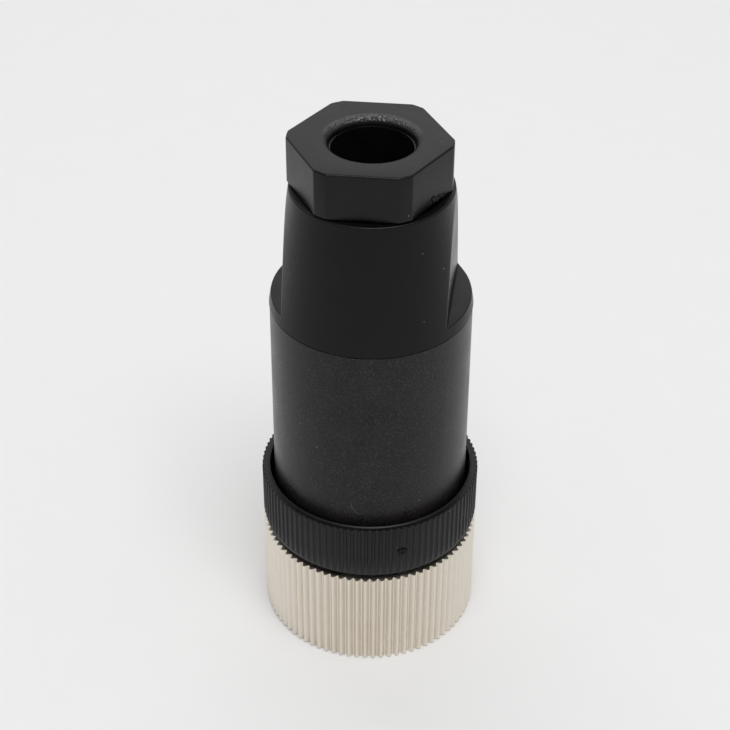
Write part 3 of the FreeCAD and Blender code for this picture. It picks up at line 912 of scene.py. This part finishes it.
def specks(tree, place, spacing_mm, fade, missing, strength):
    """Round specks in the cells of a cell texture, each with its own strength.

    The fade is where a speck's soft edge starts and ends, as shares of the spacing. Missing is
    the share of the cells that have none.
    """
    cells = add_node(
        tree,
        "ShaderNodeTexVoronoi",
        values={"Scale": grain_scale(spacing_mm)},
        links={"Vector": place},
    )
    dot = add_node(
        tree,
        "ShaderNodeMapRange",
        values={"From Min": fade[0], "From Max": fade[1], "To Min": 1.0, "To Max": 0.0},
        links={"Value": cells.outputs["Distance"]},
    )
    chance = add_node(
        tree, "ShaderNodeSeparateColor", links={"Color": cells.outputs["Color"]}
    )
    picked = add_node(
        tree,
        "ShaderNodeMapRange",
        values={"From Min": missing, "To Max": strength},
        links={"Value": chance.outputs["Red"]},
    )
    return add_node(
        tree,
        "ShaderNodeMath",
        {"operation": "MULTIPLY"},
        links={0: dot.outputs["Result"], 1: picked.outputs["Result"]},
    ).outputs[0]


def nylon_grain(tree, mottle_mm):
    """What every moulding here has: a soft mottle, a fine grain and a few specks of dust.

    The real grain is about 0.03 mm and too fine to show, so it is drawn 0.11 mm across.
    """
    place = add_node(tree, "ShaderNodeTexCoord").outputs["Object"]
    mottle = add_node(
        tree,
        "ShaderNodeTexNoise",
        values={"Scale": grain_scale(mottle_mm), "Detail": 4.0, "Roughness": 0.55},
        links={"Vector": place},
    ).outputs["Fac"]
    grain = add_node(
        tree,
        "ShaderNodeTexNoise",
        values={"Scale": grain_scale(0.11), "Detail": 2.0, "Roughness": 0.6},
        links={"Vector": place},
    ).outputs["Fac"]
    return place, mottle, grain, specks(tree, place, 1.5, (0.028, 0.045), 0.55, 1.0)


def clouded(tree, mottle, dark, pale, low_end=0.32, high_end=0.7):
    """A colour that drifts between a dark and a pale one with the mottle."""
    cloud = add_node(
        tree,
        "ShaderNodeMapRange",
        values={"From Min": low_end, "From Max": high_end},
        links={"Value": mottle},
    ).outputs["Result"]
    return add_node(
        tree,
        "ShaderNodeMix",
        {"data_type": "RGBA"},
        {6: linear(dark), 7: linear(pale)},
        {0: cloud},
    ).outputs[2]


def satin_nylon(name, base, pale, gloss, rough):
    """Nylon from a smooth mould: near black with a satin sheen and a faint cloudiness."""
    made, tree = new_material(name)
    mottle, grain, dust = nylon_grain(tree, 2.0)[1:]
    body = clouded(tree, mottle, base, pale, 0.35, 0.68)
    dusty = add_node(
        tree,
        "ShaderNodeMix",
        {"data_type": "RGBA"},
        {7: linear("8A8C8E")},
        {0: dust, 6: body},
    ).outputs[2]
    sheen = add_node(
        tree,
        "ShaderNodeMapRange",
        values={"From Min": 0.3, "From Max": 0.7, "To Min": rough - 0.05, "To Max": rough + 0.06},
        links={"Value": mottle},
    ).outputs["Result"]
    relief = add_node(
        tree,
        "ShaderNodeBump",
        values={"Strength": 0.25, "Distance": 0.02 * MM},
        links={"Height": grain},
    ).outputs["Normal"]
    finish_material(
        tree,
        {"IOR": 1.53, "Specular IOR Level": gloss},
        {"Base Color": dusty, "Roughness": sheen, "Normal": relief},
    )
    return made


def sleeve_nylon():
    """Nylon with glass fibre from a spark-eroded mould.

    The sleeve below the parting line is a warm dark grey with a dull grain and a broad mottle,
    and has one fine scratch. The cone above it comes from a smoother half of the mould and is
    closer to plain black.
    """
    made, tree = new_material("moulded_nylon_sleeve")
    place, mottle, grain, dust = nylon_grain(tree, 2.6)
    height = add_node(tree, "ShaderNodeSeparateXYZ", links={"Vector": place}).outputs["Z"]
    upper = add_node(
        tree,
        "ShaderNodeMapRange",
        values={"From Min": (PARTING - 0.04) * MM, "From Max": PARTING * MM},
        links={"Value": height},
    ).outputs["Result"]
    lower_body = clouded(tree, mottle, "151314", "1F1C1D")
    upper_body = clouded(tree, mottle, "050505", "090909")
    # Ends of glass fibre show as pale flecks of 0.03 mm, drawn 0.16 mm across
    flecks = add_node(
        tree,
        "ShaderNodeTexNoise",
        values={"Scale": grain_scale(0.16), "Detail": 1.0},
        links={"Vector": place},
    ).outputs["Fac"]
    shown = add_node(
        tree,
        "ShaderNodeMapRange",
        values={"From Min": 0.5, "From Max": 0.75, "To Max": 0.6},
        links={"Value": flecks},
    ).outputs["Result"]
    flecked = add_node(
        tree,
        "ShaderNodeMix",
        {"data_type": "RGBA"},
        {7: linear("3E3B3C")},
        {0: shown, 6: lower_body},
    ).outputs[2]
    body = add_node(
        tree,
        "ShaderNodeMix",
        {"data_type": "RGBA"},
        links={0: upper, 6: flecked, 7: upper_body},
    ).outputs[2]
    dusty = add_node(
        tree,
        "ShaderNodeMix",
        {"data_type": "RGBA"},
        {7: linear("8C8C8C")},
        {0: dust, 6: body},
    ).outputs[2]
    # The scratch is a short arc, where the skin crosses a sphere round a point beside it
    from_centre = add_node(
        tree,
        "ShaderNodeVectorMath",
        {"operation": "DISTANCE"},
        {1: [c * MM for c in SCRATCH_CENTRE]},
        {0: place},
    ).outputs["Value"]
    on_arc = add_node(
        tree,
        "ShaderNodeMath",
        {"operation": "COMPARE"},
        {1: SCRATCH_RADIUS * MM, 2: 0.035 * MM},
        {0: from_centre},
    ).outputs[0]
    side = add_node(tree, "ShaderNodeSeparateXYZ", links={"Vector": place}).outputs["X"]
    left_part = add_node(
        tree,
        "ShaderNodeMapRange",
        values={
            "From Min": (SCRATCH_CENTRE[0] - 0.9) * MM,
            "From Max": (SCRATCH_CENTRE[0] - 0.5) * MM,
            "To Min": 0.7,
            "To Max": 0.0,
        },
        links={"Value": side},
    ).outputs["Result"]
    low_part = add_node(
        tree,
        "ShaderNodeMapRange",
        values={
            "From Min": (SCRATCH_CENTRE[2] - 0.2) * MM,
            "From Max": (SCRATCH_CENTRE[2] + 0.3) * MM,
            "To Min": 0.8,
            "To Max": 0.0,
        },
        links={"Value": height},
    ).outputs["Result"]
    part = add_node(
        tree, "ShaderNodeMath", {"operation": "MULTIPLY"}, links={0: left_part, 1: low_part}
    ).outputs[0]
    scratch = add_node(
        tree, "ShaderNodeMath", {"operation": "MULTIPLY"}, links={0: on_arc, 1: part}
    ).outputs[0]
    scratched = add_node(
        tree,
        "ShaderNodeMix",
        {"data_type": "RGBA"},
        {7: linear("5A5A5A")},
        {0: scratch, 6: dusty},
    ).outputs[2]
    sheen = add_node(
        tree,
        "ShaderNodeMapRange",
        values={"From Min": 0.3, "From Max": 0.7, "To Min": 0.26, "To Max": 0.34},
        links={"Value": mottle},
    ).outputs["Result"]
    relief = add_node(
        tree,
        "ShaderNodeBump",
        values={"Strength": 0.7, "Distance": 0.03 * MM},
        links={"Height": grain},
    ).outputs["Normal"]
    finish_material(
        tree,
        {"IOR": 1.53, "Specular IOR Level": 0.19},
        {"Base Color": scratched, "Roughness": sheen, "Normal": relief},
    )
    return made


def gland_nylon():
    """Nylon from a worn mould: a satin black hexagon whose flared mouth sparkles on one side."""
    made, tree = new_material("moulded_nylon_gland")
    place, mottle, grain, dust = nylon_grain(tree, 2.2)
    body = clouded(tree, mottle, "080909", "101111")
    dusty = add_node(
        tree,
        "ShaderNodeMix",
        {"data_type": "RGBA"},
        {7: linear("7C7E7E")},
        {0: dust, 6: body},
    ).outputs[2]
    sheen = add_node(
        tree,
        "ShaderNodeMapRange",
        values={"From Min": 0.3, "From Max": 0.7, "To Min": 0.24, "To Max": 0.32},
        links={"Value": mottle},
    ).outputs["Result"]
    # The mouth's lip is picked out by its distance from the axis, its height and its side
    flat = add_node(
        tree,
        "ShaderNodeVectorMath",
        {"operation": "MULTIPLY"},
        {1: (1.0, 1.0, 0.0)},
        {0: place},
    ).outputs["Vector"]
    reach = add_node(
        tree, "ShaderNodeVectorMath", {"operation": "LENGTH"}, links={0: flat}
    ).outputs["Value"]
    inside = add_node(
        tree,
        "ShaderNodeMapRange",
        values={
            "From Min": (CABLE_BORE + MOUTH_FLARE * 0.75) * MM,
            "From Max": (CABLE_BORE + MOUTH_FLARE) * MM,
            "To Min": 1.0,
            "To Max": 0.0,
        },
        links={"Value": reach},
    ).outputs["Result"]
    along = add_node(tree, "ShaderNodeSeparateXYZ", links={"Vector": place})
    above = add_node(
        tree,
        "ShaderNodeMapRange",
        values={"From Min": (GLAND_TOP - 0.42) * MM, "From Max": (GLAND_TOP - 0.25) * MM},
        links={"Value": along.outputs["Z"]},
    ).outputs["Result"]
    far_side = add_node(
        tree,
        "ShaderNodeMapRange",
        values={"From Min": 0.6 * MM, "From Max": 2.4 * MM},
        links={"Value": along.outputs["Y"]},
    ).outputs["Result"]
    lip = add_node(
        tree, "ShaderNodeMath", {"operation": "MULTIPLY"}, links={0: inside, 1: above}
    ).outputs[0]
    mouth = add_node(
        tree, "ShaderNodeMath", {"operation": "MULTIPLY"}, links={0: lip, 1: far_side}
    ).outputs[0]
    fine = add_node(
        tree,
        "ShaderNodeBump",
        values={"Strength": 0.6, "Distance": 0.03 * MM},
        links={"Height": grain},
    ).outputs["Normal"]
    # The lip is torn there, with facets of about 0.1 mm, drawn at 0.2 mm
    facets = add_node(
        tree,
        "ShaderNodeTexNoise",
        values={"Scale": grain_scale(0.2), "Detail": 1.0, "Roughness": 0.5},
        links={"Vector": place},
    ).outputs["Fac"]
    relief = add_node(
        tree,
        "ShaderNodeBump",
        values={"Distance": 0.18 * MM},
        links={"Height": facets, "Strength": mouth, "Normal": fine},
    ).outputs["Normal"]
    gloss = add_node(
        tree,
        "ShaderNodeMapRange",
        values={"To Max": 0.2},
        links={"Value": mouth, "To Min": sheen},
    ).outputs["Result"]
    # The facets are bare of the matt skin and mirror more of the light above
    mirror = add_node(
        tree,
        "ShaderNodeMapRange",
        values={"To Min": 0.2, "To Max": 0.85},
        links={"Value": mouth},
    ).outputs["Result"]
    finish_material(
        tree,
        {"IOR": 1.53},
        {
            "Base Color": dusty,
            "Roughness": gloss,
            "Specular IOR Level": mirror,
            "Normal": relief,
        },
    )
    return made


def nickel_plate():
    """Nickel on turned brass: warm grey, satin, slightly cloudy, with a few dark pits."""
    made, tree = new_material("satin_nickel_plate")
    place = add_node(tree, "ShaderNodeTexCoord").outputs["Object"]
    cloud = add_node(
        tree,
        "ShaderNodeTexNoise",
        values={"Scale": grain_scale(1.8), "Detail": 4.0},
        links={"Vector": place},
    ).outputs["Fac"]
    plate = add_node(
        tree,
        "ShaderNodeMix",
        {"data_type": "RGBA"},
        {6: linear("E1D9CC"), 7: linear("ECE6DC")},
        {0: cloud},
    ).outputs[2]
    pits = specks(tree, place, 1.3, (0.05, 0.08), 0.86, 0.7)
    pitted = add_node(
        tree,
        "ShaderNodeMix",
        {"data_type": "RGBA"},
        {7: linear("4A443C")},
        {0: pits, 6: plate},
    ).outputs[2]
    # Turning and plating marks are under 0.02 mm and are drawn 0.14 mm across
    marks = add_node(
        tree,
        "ShaderNodeTexNoise",
        values={"Scale": grain_scale(0.14), "Detail": 2.0},
        links={"Vector": place},
    ).outputs["Fac"]
    relief = add_node(
        tree,
        "ShaderNodeBump",
        values={"Strength": 0.12, "Distance": 0.012 * MM},
        links={"Height": marks},
    ).outputs["Normal"]
    satin = add_node(
        tree,
        "ShaderNodeMapRange",
        values={"From Min": 0.3, "From Max": 0.7, "To Min": 0.34, "To Max": 0.45},
        links={"Value": cloud},
    ).outputs["Result"]
    finish_material(
        tree,
        {"Metallic": 1.0},
        {"Base Color": pitted, "Roughness": satin, "Normal": relief},
    )
    return made


def plated_metal(name, dull, bright, rough):
    """Small plated parts: gold on the turned contacts, zinc on the screws, a little uneven."""
    made, tree = new_material(name)
    place = add_node(tree, "ShaderNodeTexCoord").outputs["Object"]
    cloud = add_node(
        tree,
        "ShaderNodeTexNoise",
        values={"Scale": grain_scale(0.5), "Detail": 3.0},
        links={"Vector": place},
    ).outputs["Fac"]
    plate = add_node(
        tree,
        "ShaderNodeMix",
        {"data_type": "RGBA"},
        {6: linear(dull), 7: linear(bright)},
        {0: cloud},
    ).outputs[2]
    gloss = add_node(
        tree,
        "ShaderNodeMapRange",
        values={"From Min": 0.3, "From Max": 0.7, "To Min": rough - 0.05, "To Max": rough + 0.08},
        links={"Value": cloud},
    ).outputs["Result"]
    finish_material(tree, {"Metallic": 1.0}, {"Base Color": plate, "Roughness": gloss})
    return made


def nitrile_rubber():
    """Pressed nitrile rubber: black, dull, with a faint grey bloom."""
    made, tree = new_material("nitrile_rubber")
    place = add_node(tree, "ShaderNodeTexCoord").outputs["Object"]
    bloom = add_node(
        tree,
        "ShaderNodeTexNoise",
        values={"Scale": grain_scale(0.8), "Detail": 4.0},
        links={"Vector": place},
    ).outputs["Fac"]
    body = add_node(
        tree,
        "ShaderNodeMix",
        {"data_type": "RGBA"},
        {6: linear("101010"), 7: linear("212122")},
        {0: bloom},
    ).outputs[2]
    dull = add_node(
        tree,
        "ShaderNodeMapRange",
        values={"From Min": 0.3, "From Max": 0.7, "To Min": 0.6, "To Max": 0.75},
        links={"Value": bloom},
    ).outputs["Result"]
    finish_material(tree, {"IOR": 1.52}, {"Base Color": body, "Roughness": dull})
    return made


def white_card():
    """The pale matt card that the connector stands on."""
    made, tree = new_material("white_card")
    place = add_node(tree, "ShaderNodeTexCoord").outputs["Object"]
    grain = add_node(
        tree,
        "ShaderNodeTexNoise",
        values={"Scale": grain_scale(6.0), "Detail": 2.0},
        links={"Vector": place},
    ).outputs["Fac"]
    body = add_node(
        tree,
        "ShaderNodeMix",
        {"data_type": "RGBA"},
        {6: linear("F1F1F1"), 7: linear("F3F3F3")},
        {0: grain},
    ).outputs[2]
    finish_material(tree, {"Roughness": 0.7, "Specular IOR Level": 0.1}, {"Base Color": body})
    return made


# The camera, fitted to the photograph's outlines: millimetres and degrees
CAMERA_PLACE = (-0.51, -122.19, 117.79)
CAMERA_DOWN = 36.60
CAMERA_ROLL = 0.28
CAMERA_LENS = 83.82
SENSOR = 36.0

# The light: softboxes with their place and size in millimetres and their power in watts
SURROUND_GLOW = 0.47
FLOOR_HALF = 2000
LAMP_TARGET = (0, 0, 25)
SOFTBOXES = (
    ("overhead_softbox", (50, -200, 560), (330, 280), 1.62),
    ("back_softbox", (-60, 330, 330), (560, 300), 0.45),
)


def place_camera():
    """A camera that looks along +Y and down, at the photograph's height and distance."""
    data = bpy.data.cameras.new("camera")
    data.lens = CAMERA_LENS
    data.sensor_width = SENSOR
    data.clip_start = 0.005
    data.clip_end = 10
    camera = new_object("camera", data)
    turn = Matrix.Rotation(math.radians(90 - CAMERA_DOWN), 4, "X")
    roll = Matrix.Rotation(math.radians(CAMERA_ROLL), 4, "Z")
    camera.matrix_world = Matrix.Translation(Vector(CAMERA_PLACE) * MM) @ turn @ roll
    bpy.context.scene.camera = camera


def add_softbox(name, place_mm, target_mm, size_mm, power):
    """A white rectangular lamp that faces its target."""
    data = bpy.data.lights.new(name, "AREA")
    data.shape = "RECTANGLE"
    data.size = size_mm[0] * MM
    data.size_y = size_mm[1] * MM
    data.energy = power
    lamp = new_object(name, data)
    place = Vector(place_mm) * MM
    aim = Vector(target_mm) * MM - place
    turn = aim.to_track_quat("-Z", "Y").to_matrix().to_4x4()
    lamp.matrix_world = Matrix.Translation(place) @ turn


def light_the_stage():
    """A pale floor, an even white surrounding, and softboxes overhead and at the back."""
    world = bpy.data.worlds.new("studio")
    bpy.context.scene.world = world
    world.use_nodes = True
    tree = world.node_tree
    tree.nodes.clear()
    glow = add_node(
        tree, "ShaderNodeBackground", values={"Color": (1, 1, 1, 1), "Strength": SURROUND_GLOW}
    )
    add_node(tree, "ShaderNodeOutputWorld", links={"Surface": glow.outputs["Background"]})
    bpy.context.scene.view_settings.view_transform = "Standard"
    floor_mesh = bpy.data.meshes.new("floor")
    half = FLOOR_HALF * MM
    floor_mesh.from_pydata(
        [(-half, -half, 0), (half, -half, 0), (half, half, 0), (-half, half, 0)],
        [],
        [(0, 1, 2, 3)],
    )
    floor = new_object("floor", floor_mesh)
    floor.data.materials.append(white_card())
    for name, place, size, power in SOFTBOXES:
        add_softbox(name, place, LAMP_TARGET, size, power)


REPEAT_TREE = repeat_tree()
THREAD_TREE = thread_tree()


def main():
    """The pieces with their materials, then the camera and the light."""
    nickel = nickel_plate()
    carrier_nylon = satin_nylon("moulded_nylon_carrier", "0F0F10", "171617", 0.24, 0.4)
    insulator = satin_nylon("moulded_insulator", "141415", "1B1B1C", 0.4, 0.4)
    gland = gland_nylon()
    gold = plated_metal("gold_plate", "D9A441", "E9BD62", 0.22)
    zinc = plated_metal("zinc_plate", "B9BCC0", "CDD0D3", 0.3)
    rubber = nitrile_rubber()

    make_coupling_nut(nickel)
    make_contact_carrier(carrier_nylon)
    make_housing(sleeve_nylon())
    make_gland_nut(gland)
    inside = "insert_body"
    carry_over("contact_insert", "insulator_block", inside, "insulator_plastic", insulator)
    for number in range(1, 5):
        carry_over(
            f"contact_{number}", f"socket_contact_{number}", inside, "gold_plated_brass", gold
        )
    carry_over("terminal_screws", "terminal_grub_screws", inside, "screw_steel", zinc)
    carry_over("face_seal", "face_o_ring", inside, "seal_rubber", rubber, 60)
    carry_over("housing_seal", "housing_o_ring", inside, "seal_rubber", rubber, 60)
    carry_over("cable_seal", "cable_sleeve_seal", "seal_body", "seal_rubber", rubber)
    carry_over("clamp_cage", "clamp_fingers", "cage_body", "black_gland_plastic", gland)
    place_camera()
    light_the_stage()


main()
